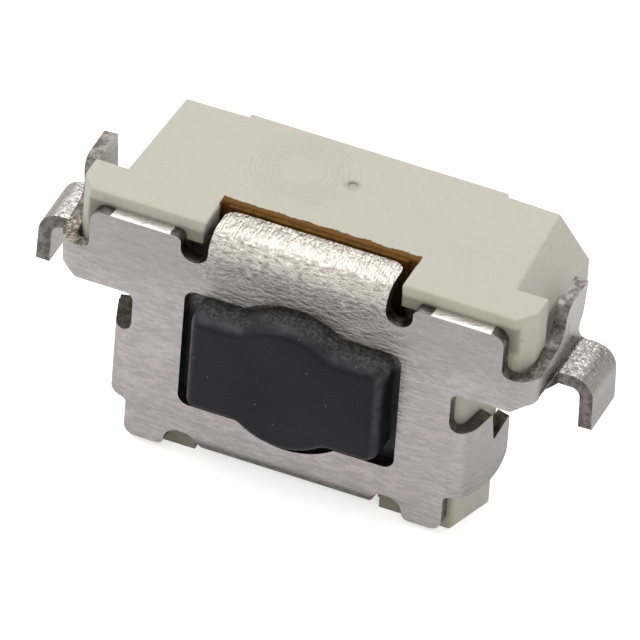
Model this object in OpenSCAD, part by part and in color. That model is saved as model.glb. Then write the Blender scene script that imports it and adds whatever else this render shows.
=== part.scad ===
/* [Body] */

// Height of the moulded base, from its bottom to its T-shaped top face
body_h = 3.0; // [2.9:0.05:3.6]
// Depth from the front plate's face to the back of the rear block
body_d = 2.03; // [1.8:0.05:2.8]
// Full width of the wings of the T-shaped top face
wing_w = 5.16; // [5.1:0.02:5.18]
// How far back the wings reach behind the front plate's face
wing_d = 0.65; // [0.6:0.02:0.72]
// Width of the rear block's top face where it meets the wings
block_top_w = 4.41; // [4:0.05:4.6]
// Width of the rear block at its foot
block_w = 5.0; // [4.8:0.05:5.1]
// Outward slope of the block's right side, as width gained for each unit of height
block_slope = 0.78; // [0.3:0.02:1]
// Outward slope of the block's left side
block_draft = 0.25; // [0:0.01:0.4]
// Angle by which each side of the rear block closes in towards the back
block_taper = 3.1; // [0:0.1:5]
// Depth of the raised middle run on the block's back
back_rise = 0.07; // [0.02:0.01:0.15]
// Width of the raised middle run
back_rise_w = 2.94; // [2:0.02:3.6]
// Shift of that run to the right
back_rise_x = 0.05; // [0:0.01:0.1]
// Depth of the narrower lower body behind the front plate's face
lower_d = 1.25; // [1.2:0.05:1.5]
// Width of the lower body's back
lower_back_w = 3.6; // [3:0.1:4]
// Step from the base's top face down to the board plane
board_drop = 1.04; // [1:0.02:1.2]
// Gap between the film's edges and the notch in the top face
notch_gap = 0.095; // [0.02:0.005:0.12]
// Diameter of the gate mark on the top face
gate_d = 0.11; // [0.05:0.01:0.2]
// Depth of the gate mark
gate_depth = 0.02; // [0.01:0.005:0.05]
// Distance of the gate mark behind the front plate's face
gate_y = 1.47; // [1.2:0.01:1.7]

/* [Sheet Metal] */

// Thickness of the sheet
sheet_t = 0.15; // [0.1:0.01:0.18]
// Inner radius of the bends
bend_r = 0.1; // [0.05:0.01:0.12]
// Inner radius of the bend under the bottom
foot_bend_r = 0.15; // [0.1:0.01:0.18]
// Gap left between the sheet and the moulded base beside it
sheet_gap = 0.015; // [0.005:0.005:0.03]

/* [Front Plate] */

// Width over the two shoulders
shoulder_w = 4.7; // [4.4:0.05:4.8]
// Step from the base's top face down to the shoulders
shoulder_drop = 0.155; // [0.1:0.01:0.25]
// Radius of the shoulders' corners
shoulder_r = 0.13; // [0.05:0.01:0.2]
// Width of the relief notches beside the top tab
relief_w = 0.31; // [0.2:0.01:0.4]
// Step from the base's top face down to the bottom of the relief notches
relief_drop = 0.43; // [0.4:0.01:0.48]
// Step from the base's top face down to the lower edge of the side wings
wing_drop = 1.095; // [1.06:0.005:1.2]
// Rise of that edge where it runs into the corner bend
wing_sweep = 0.1; // [0.02:0.01:0.12]
// Radius of the plate's lower corners
low_corner_r = 0.13; // [0.05:0.01:0.2]
// Half width of the flat lower plate
low_half = 1.812; // [1.75:0.01:1.85]
// Height of the plate's lower corners
corner_low_z = 0.055; // [0.03:0.005:0.1]
// Width of the bottom notches
foot_notch_w = 0.41; // [0.3:0.01:0.44]
// Height of the top of the bottom notches
foot_notch_z = 0.3; // [0.25:0.01:0.34]

/* [Opening and Button] */

// Step from the base's top face down to the opening's straight upper edge
bar_top = 0.813; // [0.8:0.01:0.95]
// Height of the opening's straight lower edge above the base's bottom
bar_low = 0.673; // [0.66:0.01:0.8]
// Width of the opening
opening_w = 2.47; // [2.3:0.02:2.6]
// Radius of the opening's corners
opening_r = 0.13; // [0.08:0.01:0.2]
// Width of the round bellies above and below, along the straight edge
belly_w = 1.11; // [0.9:0.02:1.2]
// Height of the bellies over the straight edge
belly_rise = 0.188; // [0.15:0.005:0.21]
// Gap around the button
button_gap = 0.135; // [0.08:0.005:0.16]
// Height of the button over the front plate
button_proud = 0.25; // [0.22:0.01:0.4]
// Radius of the button's front edges
button_edge_r = 0.13; // [0.08:0.01:0.15]
// Travel of the button
travel = 0.2; // [0.1:0.01:0.2]
// Thickness of the button's retaining flange
flange_t = 0.14; // [0.1:0.01:0.16]
// Overlap of the retaining flange behind the plate
flange_lap = 0.08; // [0.05:0.01:0.1]
// Diameter of the nub that presses the dome
nub_d = 0.8; // [0.5:0.05:1]
// Free play between parts that move on each other
play = 0.01; // [0.005:0.001:0.02]

/* [Tabs] */

// Width of the top tab
tab_w = 2.02; // [1.8:0.02:2.04]
// Step from the base's top face down to the top tab
tab_drop = 0.03; // [0.02:0.01:0.08]
// Depth of the top tab behind the front plate's face
tab_d = 0.525; // [0.45:0.005:0.53]
// Radius of the top tab's corners
tab_r = 0.13; // [0.05:0.01:0.15]
// Width of the bottom tab
foot_w = 1.9; // [1.7:0.02:1.94]
// Depth of the bottom tab
foot_d = 0.75; // [0.6:0.02:0.9]
// Distance of the bottom tab's face above the base's bottom
foot_rise = 0.01; // [0.005:0.005:0.03]

/* [Ears and Hooks] */

// Half width over the two ears
ear_half = 2.735; // [2.735:0.005:2.85]
// Front edge of the ear
ear_front = 0.77; // [0.75:0.01:0.85]
// Back edge of the ear
ear_back = 1.32; // [1.28:0.01:1.4]
// Radius of the ear's upper front corner
ear_tip_r = 0.14; // [0.05:0.01:0.2]
// Step from the base's top face down to the relief at the corner bend
ear_relief_drop = 0.67; // [0.62:0.01:0.7]
// Rise of the relief from the bend to the ear
ear_relief_rise = 0.07; // [0:0.01:0.1]
// Half width over the two hooks
hook_half = 3.17; // [3.12:0.01:3.4]
// Front edge of the hook
hook_front = 0.62; // [0.6:0.01:0.66]
// Width of the hook
hook_w = 0.65; // [0.55:0.01:0.65]
// Length of the hook's leg below the board plane
leg_l = 0.5; // [0.4:0.02:0.8]

/* [Lower Flanges] */

// Angle of the lower flanges away from straight back
flange_lean = 17.64; // [15:0.1:20]
// Height of the flange's lower edge
flange_low_z = 0.52; // [0.5:0.01:0.6]
// Height of the slot between the side wing and the flange
slot_h = 0.515; // [0.45:0.01:0.6]
// Step from the flange's upper edge down to its rear corner
rear_drop = 0.13; // [0.05:0.01:0.25]
// Back edge of the flange
flange_d = 0.74; // [0.7:0.01:0.76]
// Depth of the V-cut below the flange's upper edge
vee_depth = 0.325; // [0.2:0.01:0.36]

/* [Snap Dome and Film] */

// Thickness of the cover film
film_t = 0.05; // [0.03:0.005:0.05]
// Width of the cover film
film_w = 2.04; // [1.8:0.02:2.06]
// Distance of the film's upper edge below the base's top face
film_drop = 0.02; // [0.01:0.01:0.06]
// Depth of the film's back behind the front plate's face
film_y = 0.61; // [0.6:0.005:0.62]
// Diameter of the snap dome
dome_d = 2; // [1.8:0.05:2.1]
// Height left of the snap dome when the button is pressed in
dome_rest = 0.04; // [0.03:0.005:0.06]
// Thickness of the snap dome
dome_t = 0.05; // [0.03:0.005:0.05]

/* [Contacts] */

// Thickness of the contact strips
contact_t = 0.12; // [0.1:0.01:0.14]
// Width of the contact strips
contact_w = 0.5; // [0.4:0.02:0.56]
// Distance of the contact strips from the middle
contact_x = 1.2; // [1.15:0.01:1.3]
// Diameter of the centre contact's pad
pad_d = 0.6; // [0.4:0.05:0.8]
// Height of that pad over its strip
pad_h = 0.07; // [0.05:0.01:0.1]
// Depth of the solder tails' ends
tail_d = 1.92; // [1.8:0.02:1.96]
// Step of the tails below the block's underside
tail_step = 0.03; // [0.02:0.01:0.05]

/* [Hidden] */

$fn = 64;

bend_out = bend_r + sheet_t;
board_z = body_h - board_drop;
shoulder_z = body_h - shoulder_drop;
wing_low_z = body_h - wing_drop;
wing_side_z = wing_low_z + wing_sweep;
ear_relief_z = body_h - ear_relief_drop;
flange_top_z = wing_low_z - slot_h;
rear_top_z = flange_top_z - rear_drop;
vee_z = flange_top_z - vee_depth;
tab_z = body_h - tab_drop;
relief_z = body_h - relief_drop;
block_under_z = board_z + tail_step;
part_d = body_d + back_rise;
mid_y = (part_d - button_proud) / 2;

// Overlap by which the moulded base's blocks run into each other, and a length that reaches past any edge
join = 0.1;
beyond = 1;

// Sloping cuts on the wings' front corners
wing_cut_w = 0.16;
wing_cut_y = 0.36;

// Room left beside the bottom tab, and where its bend and the notches beside it end
foot_gap = 0.03;
foot_outer = foot_bend_r + sheet_t;
foot_bend_z = foot_rise + foot_outer;
foot_notch_r = foot_notch_w / 2;
foot_corner_r = 0.08;
foot_flare = foot_w / 2 + foot_notch_r;

// Where the lower flange's wall leaves its bend, and the base's side that follows it
flange_sweep = 90 - flange_lean;
slope = tan(flange_lean);
flange_in_x = low_half + bend_r / cos(flange_lean) - bend_out * slope;
base_side_x = flange_in_x - sheet_gap / cos(flange_lean);
base_bend_x = low_half - foot_gap;
lower_side_y = 0.745;
below_flange_z = flange_low_z - foot_gap;

// Opening: the bellies are arcs of circles about points off the opening's centre
opening_h = body_h - bar_top - bar_low;
button_z = bar_low + opening_h / 2;
belly_r = (pow(belly_w / 2, 2) + pow(belly_rise, 2)) / (2 * belly_rise);
opening_top = opening_h / 2 + belly_rise;
belly_off = opening_top - belly_r;

// Recess for the button's flange, and the room behind it
flange_side_lap = 0.06;
flange_r = 0.2;
recess_side_gap = 0.05;
recess_low_gap = 0.04;
recess_drop = 0.27;
film_low_gap = 0.02;
dome_gap = 0.05;
flange_half_w = opening_w / 2 + flange_lap + flange_side_lap;
flange_half_h = opening_top + flange_lap;
recess_half_w = flange_half_w + recess_side_gap;
recess_low_z = button_z - flange_half_h - recess_low_gap;
recess_top_z = body_h - recess_drop;
notch_w = film_w + 2 * notch_gap;
flange_y = sheet_t + play;
flange_back = flange_y + flange_t;
nub_y = film_y - film_t - play;
dome_apex = film_y + play;
dome_h = travel + dome_rest;
pocket_y = dome_apex + dome_h;
pocket_d = dome_d + 2 * dome_gap;

// Edge shapes of the ear and the flange
relief_end = ear_relief_z + ear_relief_rise;
root_z = board_z + sheet_t + bend_r;
hook_root_step = 0.1;
sweep_r = 0.2;
wing_sweep_y = 0.2;
ear_r = 0.07;
ear_foot_r = 0.2;
flange_back_r = 0.35;
rear_tip_y = flange_d - 0.02;
vee_front = 0.46;
vee_front_rise = 0.045;
vee_y = 0.507;

// A plate outline in width and height, given depth from y0 to y1
module deep(y0, y1) {
  translate([0, y1, 0]) rotate([90, 0, 0]) linear_extrude(y1 - y0) children();
}

// A side outline in depth and height, given width from x0 to x1
module wide(x0, x1) {
  translate([x0, 0, 0]) rotate([90, 0, 90]) linear_extrude(x1 - x0) children();
}

module both_sides() {
  children();
  mirror([1, 0, 0]) children();
}

module span(x0, x1, y0, y1) {
  translate([x0, y0]) square([x1 - x0, y1 - y0]);
}

// A rectangle with round corners between two opposite corners
module soft_span(x0, x1, y0, y1, r) {
  span(x0 + r, x1 - r, y0, y1);
  span(x0, x1, y0 + r, y1 - r);
  for (x = [x0 + r, x1 - r], y = [y0 + r, y1 - r]) translate([x, y]) circle(r);
}

// The part of a ring between two radii that a bend of the given angle makes
module bend(angle, inner = bend_r) {
  outer = inner + sheet_t;
  intersection() {
    difference() {
      circle(outer);
      circle(inner);
    }
    polygon([[0, 0], [3 * outer, 0], [3 * outer * cos(angle), 3 * outer * sin(angle)]]);
  }
}

// The stock that a round inner corner leaves, its corner at the origin
module fillet(r) {
  difference() {
    square(r);
    translate([r, r]) circle(r);
  }
}

// The opening's outline, or the button's when it is made smaller all round
module opening_shape(inset = 0) {
  half_w = opening_w / 2 - inset;
  half_h = opening_h / 2 - inset;
  soft_span(-half_w, half_w, -half_h, half_h, opening_r);
  for (side = [0, 1]) mirror([0, side]) intersection() {
    translate([0, belly_off]) circle(belly_r - inset);
    span(-half_w, half_w, 0, opening_top);
  }
}

// A round notch beside the bottom tab
module foot_notch() {
  translate([foot_flare, foot_notch_z - foot_notch_r]) circle(foot_notch_r);
  span(foot_flare - foot_notch_r, foot_flare + foot_notch_r, 0, foot_notch_z - foot_notch_r);
}

module plate_outline() {
  half = shoulder_w / 2;
  notch_in = tab_w / 2;
  notch_out = notch_in + relief_w;
  foot_in = foot_w / 2;
  notch_r = relief_w / 2;
  difference() {
    union() {
      soft_span(-half, half, wing_low_z, shoulder_z, shoulder_r);
      span(-half, half, wing_low_z, ear_relief_z);
      span(-ear_half + bend_out, ear_half - bend_out, wing_low_z, ear_relief_z);
      both_sides() translate([half, ear_relief_z]) fillet(ear_r);
      span(-low_half, low_half, flange_low_z, wing_low_z);
      soft_span(-low_half, low_half, corner_low_z, flange_top_z, low_corner_r);
      both_sides() translate([low_half, wing_low_z]) mirror([0, 1]) fillet(ear_r);
      span(-notch_in, notch_in, relief_z, tab_z - bend_out);
      span(-foot_in, foot_in, foot_bend_z, flange_low_z);
    }
    both_sides() {
      span(notch_in, notch_out, relief_z + notch_r, body_h);
      translate([notch_in + notch_r, relief_z + notch_r]) circle(notch_r);
      translate([notch_out, shoulder_z]) rotate(-90) fillet(ear_r);
      foot_notch();
      translate([foot_flare + foot_notch_r, corner_low_z]) fillet(foot_corner_r);
    }
    span(-notch_in, notch_in, tab_z - bend_out, body_h);
    span(-foot_flare, foot_flare, 0, foot_bend_z);
    translate([0, button_z]) opening_shape();
  }
}

// Side outline of the wing, the ear and the root of the hook
module ear_outline() {
  hook_back = hook_front + hook_w;
  difference() {
    polygon([
      [0, wing_low_z], [wing_sweep_y, wing_side_z], [hook_front, wing_side_z], [hook_front, root_z],
      [hook_back, root_z], [hook_back, relief_end - hook_root_step], [ear_back, relief_end],
      [ear_back, shoulder_z], [ear_front, shoulder_z], [ear_front, relief_end],
      [ear_front - ear_foot_r, relief_end], [bend_out, ear_relief_z], [0, ear_relief_z]
    ]);
    difference() {
      span(hook_front - sweep_r, hook_front, wing_side_z, wing_side_z + sweep_r);
      translate([hook_front - sweep_r, wing_side_z + sweep_r]) circle(sweep_r);
    }
    translate([ear_front, shoulder_z]) rotate(-90) fillet(ear_tip_r);
  }
  translate([ear_front, relief_end]) mirror([1, 0]) fillet(ear_foot_r);
}

// Side outline of the lower flange with its V-cut
module flange_outline() {
  difference() {
    polygon([
      [0, flange_low_z], [flange_d, flange_low_z], [flange_d, rear_top_z],
      [rear_tip_y, rear_top_z], [vee_y, vee_z], [vee_front, flange_top_z + vee_front_rise],
      [bend_out, flange_top_z], [0, flange_top_z]
    ]);
    difference() {
      span(flange_d - flange_back_r, flange_d, flange_low_z, flange_low_z + flange_back_r);
      translate([flange_d - flange_back_r, flange_low_z + flange_back_r]) circle(flange_back_r);
    }
  }
}

module upper_side() {
  bend_x = ear_half - bend_out;
  intersection() {
    linear_extrude(body_h) {
      translate([bend_x, bend_out]) rotate(-90) bend(90);
      span(ear_half - sheet_t, ear_half, bend_out, ear_back);
    }
    wide(bend_x, ear_half) ear_outline();
    deep(0, ear_back) polygon([
      [bend_x, wing_low_z], [bend_x + sheet_t, wing_side_z], [ear_half, wing_side_z],
      [ear_half, body_h], [bend_x, body_h]
    ]);
  }
}

module lower_side() {
  intersection() {
    linear_extrude(body_h) translate([low_half, bend_out]) {
      rotate(-90) bend(flange_sweep);
      rotate(-flange_lean) translate([bend_r, 0]) square([sheet_t, beyond]);
    }
    wide(low_half, low_half + beyond) flange_outline();
  }
}

module hook() {
  top_z = board_z + sheet_t;
  root_x = ear_half + bend_r;
  turn_x = hook_half - bend_out;
  turn_z = top_z - bend_out;
  leg_z = board_z - leg_l;
  deep(hook_front, hook_front + hook_w) {
    translate([root_x, root_z]) rotate(180) bend(90);
    span(root_x, turn_x, board_z, top_z);
    translate([turn_x, turn_z]) bend(90);
    span(hook_half - sheet_t, hook_half, leg_z, turn_z);
  }
}

module top_tab() {
  half = tab_w / 2;
  wide(-half, half) translate([bend_out, tab_z - bend_out]) rotate(90) bend(90);
  translate([0, 0, tab_z - sheet_t]) linear_extrude(sheet_t) difference() {
    span(-half, half, bend_out, tab_d);
    both_sides() translate([half, tab_d]) rotate(180) fillet(tab_r);
  }
}

module bottom_tab() {
  half = foot_w / 2;
  intersection() {
    wide(-foot_flare, foot_flare) translate([foot_outer, foot_bend_z]) rotate(180) bend(90, foot_bend_r);
    deep(0, foot_outer) difference() {
      span(-foot_flare, foot_flare, 0, foot_bend_z);
      both_sides() foot_notch();
    }
  }
  translate([0, 0, foot_rise]) linear_extrude(sheet_t) difference() {
    span(-half, half, foot_outer, foot_d);
    both_sides() translate([half, foot_d]) rotate(180) fillet(tab_r);
  }
}

module metal_frame() {
  color([0.62, 0.6, 0.58]) {
    deep(0, sheet_t) plate_outline();
    both_sides() {
      upper_side();
      lower_side();
      hook();
    }
    top_tab();
    bottom_tab();
  }
}

module wing_bar() {
  half = wing_w / 2;
  translate([0, 0, block_under_z]) linear_extrude(body_h - block_under_z) both_sides()
    polygon([[0, sheet_t], [half - wing_cut_w, sheet_t], [half, wing_cut_y], [half, wing_d], [0, wing_d]]);
}

// One side of the rear block: it slopes outwards down to the foot and closes in towards the back
module block_side(slope) {
  top = block_top_w / 2;
  foot = top + slope * (body_h - block_under_z);
  translate([0, wing_d, 0]) rotate([0, 0, block_taper]) translate([0, -wing_d, 0]) deep(0, part_d + beyond)
    polygon([[-wing_w, block_under_z], [foot, block_under_z], [top, body_h], [-wing_w, body_h]]);
}

module rear_block() {
  half = block_w / 2;
  run = back_rise_w / 2;
  intersection() {
    block_side(block_slope);
    mirror([1, 0, 0]) block_side(block_draft);
    union() {
      deep(wing_d - join, body_d) span(-half, half, 0, body_h);
      deep(wing_d, part_d) span(back_rise_x - run, back_rise_x + run, 0, body_h);
    }
  }
}

module lower_body() {
  bend_side_x = base_side_x + slope * bend_out;
  linear_extrude(block_under_z + join) both_sides() polygon([
    [0, sheet_t], [base_bend_x, sheet_t], [bend_side_x, bend_out],
    [base_side_x + slope * lower_side_y, lower_side_y], [lower_back_w / 2, lower_d], [0, lower_d]
  ]);
  linear_extrude(below_flange_z) both_sides() polygon([
    [0, sheet_t], [base_side_x + slope * sheet_t, sheet_t], [bend_side_x, bend_out], [0, bend_out]
  ]);
}

// Room in the base for the button's flange, the film, the dome and the two tabs
module base_room() {
  foot_half = foot_w / 2 + foot_gap;
  bend_half = (foot_w + foot_notch_r) / 2;
  deep(0, film_y) span(-recess_half_w, recess_half_w, recess_low_z, recess_top_z);
  deep(0, film_y) span(-notch_w / 2, notch_w / 2, recess_low_z, body_h + beyond);
  translate([0, film_y - film_t, button_z]) rotate([-90, 0, 0])
    cylinder(h = pocket_y - film_y + film_t, d = pocket_d);
  wide(-foot_half, foot_half) span(0, foot_d + foot_gap, -beyond, foot_rise + sheet_t + play);
  wide(-bend_half, bend_half) difference() {
    span(0, foot_outer, 0, foot_outer);
    translate([foot_outer, foot_outer]) circle(foot_bend_r - play);
  }
}

module gate_mark() {
  translate([0, gate_y, body_h - gate_depth]) cylinder(h = beyond, d = gate_d);
}

module base() {
  color([0.9, 0.87, 0.78]) difference() {
    union() {
      wing_bar();
      rear_block();
      lower_body();
    }
    base_room();
    gate_mark();
    centre_contact();
    rim_contact();
  }
}

// The button's outline with a round front edge, from two exact round-edged bodies
module button_cap() {
  r = button_edge_r;
  front = -button_proud;
  half_w = opening_w / 2 - button_gap;
  half_h = opening_h / 2 - button_gap;
  translate([0, 0, button_z]) {
    deep(front + r, flange_y) soft_span(-half_w, half_w, -half_h, half_h, r);
    deep(front, flange_y) span(r - half_w, half_w - r, r - half_h, half_h - r);
    for (z = [r - half_h, half_h - r]) {
      translate([0, front + r, z]) rotate([0, 90, 0]) cylinder(h = 2 * (half_w - r), r = r, center = true);
      for (x = [r - half_w, half_w - r]) translate([x, front + r, z]) sphere(r);
    }
    for (x = [r - half_w, half_w - r])
      translate([x, front + r, 0]) cylinder(h = 2 * (half_h - r), r = r, center = true);
    for (side = [0, 1]) mirror([0, 0, side]) intersection() {
      translate([0, front, belly_off]) button_belly(flange_y - front);
      deep(front, flange_y) span(-half_w, half_w, 0, body_h);
    }
  }
}

module button_belly(depth) {
  r = button_edge_r;
  outer = belly_r - button_gap;
  rotate([-90, 0, 0]) rotate_extrude() {
    span(0, outer - r, 0, depth);
    span(0, outer, r, depth);
    translate([outer - r, r]) intersection() {
      circle(r);
      translate([0, -r]) square(r);
    }
  }
}

module button() {
  color([0.15, 0.15, 0.16]) {
    button_cap();
    translate([0, 0, button_z]) {
      deep(flange_y, flange_back)
        soft_span(-flange_half_w, flange_half_w, -flange_half_h, flange_half_h, flange_r);
      translate([0, flange_y, 0]) rotate([-90, 0, 0]) cylinder(h = nub_y - flange_y, d = nub_d);
    }
  }
}

module cover_film() {
  color([0.5, 0.35, 0.12]) deep(film_y - film_t, film_y)
    span(-film_w / 2, film_w / 2, recess_low_z + film_low_gap, body_h - film_drop);
}

module snap_dome() {
  ball_r = (pow(dome_d / 2, 2) + pow(dome_h, 2)) / (2 * dome_h);
  color([0.75, 0.74, 0.7]) translate([0, pocket_y, button_z]) rotate([90, 0, 0]) rotate_extrude()
    intersection() {
      translate([0, dome_h - ball_r]) difference() {
        circle(ball_r, $fn = 200);
        circle(ball_r - dome_t, $fn = 200);
      }
      span(0, dome_d, 0, dome_h + beyond);
    }
}

// A strip that rises behind the pocket's floor and turns back along the board
module contact_strip(front, low_z) {
  back = front + contact_t;
  turn_r = 0.1;
  outer = turn_r + contact_t;
  top_z = board_z + contact_t;
  half = contact_w / 2;
  wide(contact_x - half, contact_x + half) {
    span(front, back, low_z, top_z - outer);
    translate([front + outer, top_z - outer]) intersection() {
      difference() {
        circle(outer);
        circle(turn_r);
      }
      span(-outer, 0, 0, outer);
    }
    span(front + outer, tail_d, board_z, top_z);
  }
}

module centre_contact() {
  strip_y = pocket_y + pad_h;
  arm_h = 0.24;
  color([0.8, 0.68, 0.4]) mirror([1, 0, 0]) {
    contact_strip(strip_y, button_z - arm_h / 2);
    translate([0, 0, button_z]) {
      deep(strip_y, strip_y + contact_t) span(0, contact_x, -arm_h / 2, arm_h / 2);
      translate([0, pocket_y, 0]) rotate([-90, 0, 0]) cylinder(h = pad_h + contact_t, d = pad_d);
    }
  }
}

module rim_contact() {
  pad_half = 0.3;
  pad_lap = 0.25;
  color([0.8, 0.68, 0.4]) {
    contact_strip(pocket_y, button_z - pad_half);
    translate([0, 0, button_z]) deep(pocket_y, pocket_y + contact_t)
      span(dome_d / 2 - pad_lap, contact_x, -pad_half, pad_half);
  }
}

module placed() {
  translate([0, -mid_y, 0]) children();
}

placed() metal_frame();
placed() base();
placed() button();
placed() cover_film();
placed() snap_dome();
placed() centre_contact();
placed() rim_contact();
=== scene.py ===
"""Looks of a side-push tactile switch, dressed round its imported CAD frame."""

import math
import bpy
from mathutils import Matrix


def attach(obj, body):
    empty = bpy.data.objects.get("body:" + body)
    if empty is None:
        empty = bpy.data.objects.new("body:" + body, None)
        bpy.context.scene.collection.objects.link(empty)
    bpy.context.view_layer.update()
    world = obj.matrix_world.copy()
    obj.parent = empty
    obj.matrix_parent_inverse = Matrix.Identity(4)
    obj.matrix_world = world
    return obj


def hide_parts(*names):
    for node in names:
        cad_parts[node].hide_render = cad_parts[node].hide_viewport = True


bl_info = {
    "name": "Tactile Push Button Switch",
    "version": (1, 0, 0),
    "blender": (4, 5, 0),
    "location": "View3D > Sidebar > Switch",
    "description": "Builds the bent metal cover, moulded base, button and studio round the CAD frame",
    "category": "Object",
}

import bpy
from bpy.props import FloatProperty, FloatVectorProperty, IntProperty, PointerProperty
from mathutils import Matrix, Vector

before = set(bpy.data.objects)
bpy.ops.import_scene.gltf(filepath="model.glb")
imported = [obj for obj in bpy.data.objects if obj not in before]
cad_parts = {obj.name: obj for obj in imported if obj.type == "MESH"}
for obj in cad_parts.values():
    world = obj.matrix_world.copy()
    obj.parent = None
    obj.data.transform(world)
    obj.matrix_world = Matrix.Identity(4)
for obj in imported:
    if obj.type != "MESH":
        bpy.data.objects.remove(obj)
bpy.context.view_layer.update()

# Millimetres while a piece is being shaped, metres once it is settled
MM = 0.001
# Depth of the part's middle behind the plate's face
MID_Y = 0.925

# Sheet and plate sizes in millimetres, as in the part's source
SHEET = 0.15
BEND = 0.1
BEND_MID = BEND + SHEET / 2
BEND_OUT = BEND + SHEET
FOOT_BEND = 0.15
FOOT_MID = FOOT_BEND + SHEET / 2
FOOT_OUT = FOOT_BEND + SHEET
BODY_H = 3.0
TAB_Z = 2.97
TAB_HALF = 1.01
TAB_D = 0.525
FOOT_HALF = 0.95
FOOT_D = 0.75
FOOT_RISE = 0.01
SHOULDER = 2.35
SHOULDER_Z = 2.845
RELIEF_Z = 2.57
RELIEF_OUT = 1.32
EAR_HALF = 2.735
EAR_FRONT = 0.77
EAR_BACK = 1.32
EAR_RELIEF_Z = 2.33
EAR_STEP_Z = 2.4
EAR_FOOT_Z = 2.3
HOOK_HALF = 3.17
HOOK_FRONT = 0.62
HOOK_BACK = 1.27
BOARD_Z = 1.96
ROOT_Z = BOARD_Z + BEND_OUT
LEG_Z = 1.46
WING_Z = 1.905
WING_SIDE_Z = 2.005
LOW_HALF = 1.812
LEAN = math.radians(17.64)
FLANGE_TOP_Z = 1.39
FLANGE_LOW_Z = 0.52
FLANGE_D = 0.74
FLANGE_STEP_Z = 1.26
VEE_Z = 1.065
PLATE_LOW_Z = 0.055
FOOT_NOTCH = 1.36
FOOT_NOTCH_Z = 0.3
FOOT_FLARE = (FOOT_HALF + FOOT_NOTCH) / 2
OPEN_HALF_W = 1.235
OPEN_HALF_H = 0.757
BUTTON_Z = 1.43
BELLY_R = 0.9132
BELLY_OFF = 0.0318
BUTTON_GAP = 0.135
VALLEY = 0.2
# The belly's arc has this many times the steps of a corner
BELLY_TURNS = 3
OPEN_CORNER = 0.13
BUTTON_PROUD = 0.25
BUTTON_EDGE = 0.13
EDGE_STRETCH = 1.75
# The button's hidden retaining flange and nub
FLANGE_Y = 0.16
FLANGE_T = 0.14
FLANGE_HALF_W = OPEN_HALF_W + 0.14
FLANGE_HALF_H = OPEN_HALF_H + 0.268
FLANGE_CORNER = 0.2
CAP_LAP = 0.05
NUB_R = 0.4
NUB_END = 0.55
NUB_STEPS = 48
QUARTERS = ((1, 1), (-1, 1), (-1, -1), (1, -1))

# Distances along the flat sheet, where each bend begins and ends
BEND_RUN = BEND_MID * math.pi / 2
FOOT_RUN = FOOT_MID * math.pi / 2
FLANGE_RUN = BEND_MID * (math.pi / 2 - LEAN)
EAR_BEND_X = EAR_HALF - BEND_OUT
EAR_BEND_END = EAR_BEND_X + BEND_RUN
FLANGE_END = LOW_HALF + FLANGE_RUN
TAB_BEND_Z = TAB_Z - BEND_OUT
FOOT_BEND_Z = FOOT_RISE + FOOT_OUT
HOOK_ROOT_X = EAR_HALF + BEND
HOOK_TURN_X = HOOK_HALF - BEND_OUT
HOOK_TURN_Z = BOARD_Z - BEND
HOOK_FLAT = HOOK_TURN_X - HOOK_ROOT_X
HOOK_LEG = HOOK_TURN_Z - LEG_Z
BEND_STEPS = 10
# Where the flange's strip ends on the flat sheet, outwards and upwards, and where the hook's begins
FLANGE_REACH = 2.9
FLANGE_SPLIT_Z = (WING_Z + FLANGE_TOP_Z) / 2 + 0.06
HOOK_LAP = 0.21
# Lean of the ears outwards, for each millimetre over the height at which they stand straight
EAR_SPLAY = 0.07
SPLAY_Z = 2.5

# Places on the moulded base: its outside, from which its soft edges are picked, the gate mark and the rings by it
UNDER_Z = 1.99
UNDER_HALF = 2.1
TOP_FROM_Z = 2.85
BACK_FROM_Y = 1.99
SIDE_FROM_X = 1.7
FOOT_FROM_Y = 1.2
LEVEL = 0.01
SHORT_EDGE = 0.2
GATE_Y = 1.47
SWIRL = (-0.58, 1.45)
SWIRL_STEP = 0.06

# Points closer than this are one point
SAME_POINT = 1e-5
# Play for comparing places, and a gap that keeps neighbours apart
SLACK = 1e-4
HAIR = 0.001

# Angles between faces: to be merged, to be shaded as one surface, and to be given a soft edge
FLAT_ANGLE = math.radians(0.5)
MERGE_ANGLE = math.radians(1)
SHEET_SMOOTH = math.radians(32)
MOULD_SMOOTH = math.radians(35)
MOULD_SHARP = math.radians(25)
SHEET_SHARP = math.radians(50)


class SwitchSizes(bpy.types.PropertyGroup):
    """Sizes of the finish, in millimetres on the part."""
    sheet_edge: FloatProperty(name="Sheet Edge", description="Rounding of the sheet's cut edges, in mm",
                              default=0.018, min=0.004, max=0.04)
    mould_edge: FloatProperty(name="Moulded Edge", description="Rounding of the base's edges, in mm",
                              default=0.025, min=0.004, max=0.05)
    button_edge: FloatProperty(name="Button Edge", description="Rounding of the button's front edge, in mm",
                               default=BUTTON_EDGE, min=0.05, max=0.15)
    arc_steps: IntProperty(name="Arc Steps", description="Straight steps in each round corner",
                           default=10, min=4, max=24)


class SwitchColours(bpy.types.PropertyGroup):
    """Colours and glosses of the finishes."""
    metal: FloatVectorProperty(name="Metal", description="Colour of the bent sheet", subtype="COLOR",
                               default=(0.63, 0.605, 0.6), min=0, max=1)
    metal_gloss: FloatProperty(name="Metal Roughness", description="Roughness of the bent sheet",
                               default=0.3, min=0, max=1, subtype="FACTOR")
    cream: FloatVectorProperty(name="Moulding", description="Colour of the moulded base", subtype="COLOR",
                               default=(0.62, 0.59, 0.5), min=0, max=1)
    black: FloatVectorProperty(name="Button", description="Colour of the button", subtype="COLOR",
                               default=(0.0098, 0.0094, 0.0125), min=0, max=1)
    amber: FloatVectorProperty(name="Film", description="Colour of the cover film", subtype="COLOR",
                               default=(0.16, 0.068, 0.005), min=0, max=1)
    contact: FloatVectorProperty(name="Contacts", description="Colour of the plated contacts", subtype="COLOR",
                                 default=(0.72, 0.6, 0.4), min=0, max=1)


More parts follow.
